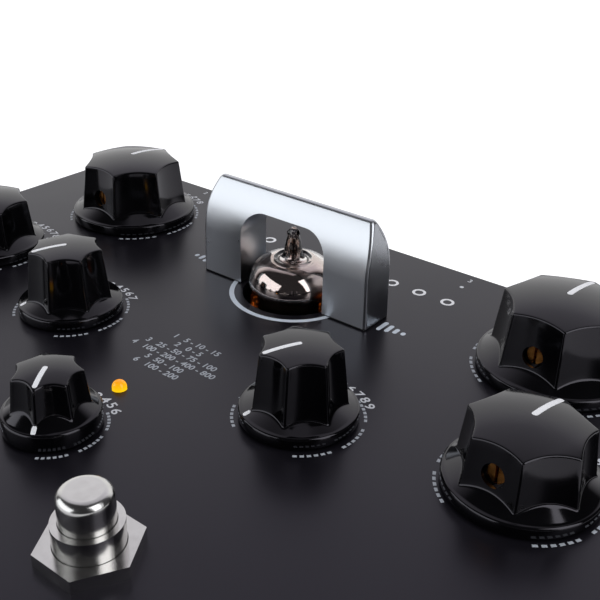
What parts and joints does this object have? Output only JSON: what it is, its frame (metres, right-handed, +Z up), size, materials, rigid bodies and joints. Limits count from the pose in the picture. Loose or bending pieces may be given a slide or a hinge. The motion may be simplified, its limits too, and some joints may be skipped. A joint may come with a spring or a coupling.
{
  "type": "delay unit",
  "caption": "Flat black desktop delay effect box with skirted lobed dials, an amber lamp, foot switches and a small valve under a satin metal arch guard.",
  "frame": {"origin": "middle of the footprint of the whole box, on the surface it stands on", "axes": "+X to the right, +Y to the rear, +Z up"},
  "size_m": [0.212, 0.1614, 0.0756],
  "materials": {
    "black_enamel": "satin black, fine texture",
    "bottom_steel": "matt black",
    "rubber": "matt",
    "black_screws": "black oxide",
    "zinc": "zinc plated",
    "knob_black": "polished",
    "pointer_white": "satin",
    "shaft_metal": "turned",
    "brass": "turned",
    "can_metal": "tinned",
    "nickel": "bright",
    "bulb_glass": "clear",
    "getter_silver": "smoky mirror",
    "anode_metal": "matt dark",
    "mica": "translucent white",
    "cathode": "glowing tips",
    "wire": "bright wire",
    "ceramic": "glazed white",
    "satin_alloy": "satin",
    "gasket": "matt",
    "board_green": "solder mask",
    "link_black": "moulded",
    "lamp_amber": "clear, lit",
    "jack_black": "moulded"
  },
  "bodies": {
    "case": {"top_cover": "black_enamel", "bottom_plate": "bottom_steel", "rubber_feet": "rubber", "foot_screws": "zinc", "cover_screws": "black_screws", "potentiometers": "can_metal", "potentiometer_nuts": "nickel", "valve_glass": "bulb_glass", "valve_silver": "getter_silver", "valve_base": "bulb_glass", "valve_pins": "wire", "valve_micas": "mica", "valve_anodes": "anode_metal", "valve_cathodes": "cathode", "valve_supports": "wire", "valve_socket": "ceramic", "valve_guard": "satin_alloy", "guard_gaskets": "gasket", "guard_screws": "zinc", "main_board": "board_green", "board_spacers": "zinc", "board_screws": "zinc", "control_board": "board_green", "board_link": "link_black", "lamp": "lamp_amber", "switch_bodies": "nickel", "switch_nuts": "nickel", "jack_bodies": "jack_black", "jack_nuts": "nickel", "supply_inlet": "jack_black"},
    "time_dial": {"time_knob": "knob_black", "time_pointer": "pointer_white", "time_shaft": "shaft_metal", "time_set_screw": "brass"},
    "mode_dial": {"mode_knob": "knob_black", "mode_pointer": "pointer_white", "mode_shaft": "shaft_metal", "mode_set_screw": "brass"},
    "feedback_dial": {"feedback_knob": "knob_black", "feedback_pointer": "pointer_white", "feedback_shaft": "shaft_metal", "feedback_set_screw": "brass"},
    "tone_dial": {"tone_knob": "knob_black", "tone_pointer": "pointer_white", "tone_shaft": "shaft_metal", "tone_set_screw": "brass"},
    "mix_dial": {"mix_knob": "knob_black", "mix_pointer": "pointer_white", "mix_shaft": "shaft_metal", "mix_set_screw": "brass"},
    "balance_dial": {"balance_knob": "knob_black", "balance_pointer": "pointer_white", "balance_shaft": "shaft_metal", "balance_set_screw": "brass"},
    "level_dial": {"level_knob": "knob_black", "level_pointer": "pointer_white", "level_shaft": "shaft_metal", "level_set_screw": "brass"},
    "tap_button": {"tap_plunger": "nickel"},
    "bypass_button": {"bypass_plunger": "nickel"}
  },
  "joints": [
    {"name": "time_turn", "type": "hinge", "parent": "case", "child": "time_dial", "pos_m": [-0.0662, 0.048, 0.05], "axis": [0, 0, 1], "range_deg": [-155, 155]},
    {"name": "mode_turn", "type": "hinge", "parent": "case", "child": "mode_dial", "pos_m": [0.0662, 0.048, 0.05], "axis": [0, 0, 1], "range_deg": [-152, 158]},
    {"name": "feedback_turn", "type": "hinge", "parent": "case", "child": "feedback_dial", "pos_m": [-0.0786, 0.0065, 0.05], "axis": [0, 0, 1], "range_deg": [-309.3, 0.7]},
    {"name": "tone_turn", "type": "hinge", "parent": "case", "child": "tone_dial", "pos_m": [0.0786, 0.0065, 0.05], "axis": [0, 0, 1], "range_deg": [-149, 161]},
    {"name": "mix_turn", "type": "hinge", "parent": "case", "child": "mix_dial", "pos_m": [-0.0344, -0.0019, 0.05], "axis": [0, 0, 1], "range_deg": [-305, 5]},
    {"name": "balance_turn", "type": "hinge", "parent": "case", "child": "balance_dial", "pos_m": [0.0344, -0.0019, 0.05], "axis": [0, 0, 1], "range_deg": [-305, 5]},
    {"name": "level_turn", "type": "hinge", "parent": "case", "child": "level_dial", "pos_m": [0, -0.035, 0.05], "axis": [0, 0, 1], "range_deg": [-5, 305]},
    {"name": "tap_press", "type": "slide", "parent": "case", "child": "tap_button", "axis": [0, 0, -1], "range_m": [0, 0.002], "stiffness_N_per_m": 2000, "springref_m": -0.002},
    {"name": "bypass_press", "type": "slide", "parent": "case", "child": "bypass_button", "axis": [0, 0, -1], "range_m": [0, 0.002], "stiffness_N_per_m": 2000, "springref_m": -0.002}
  ]
}
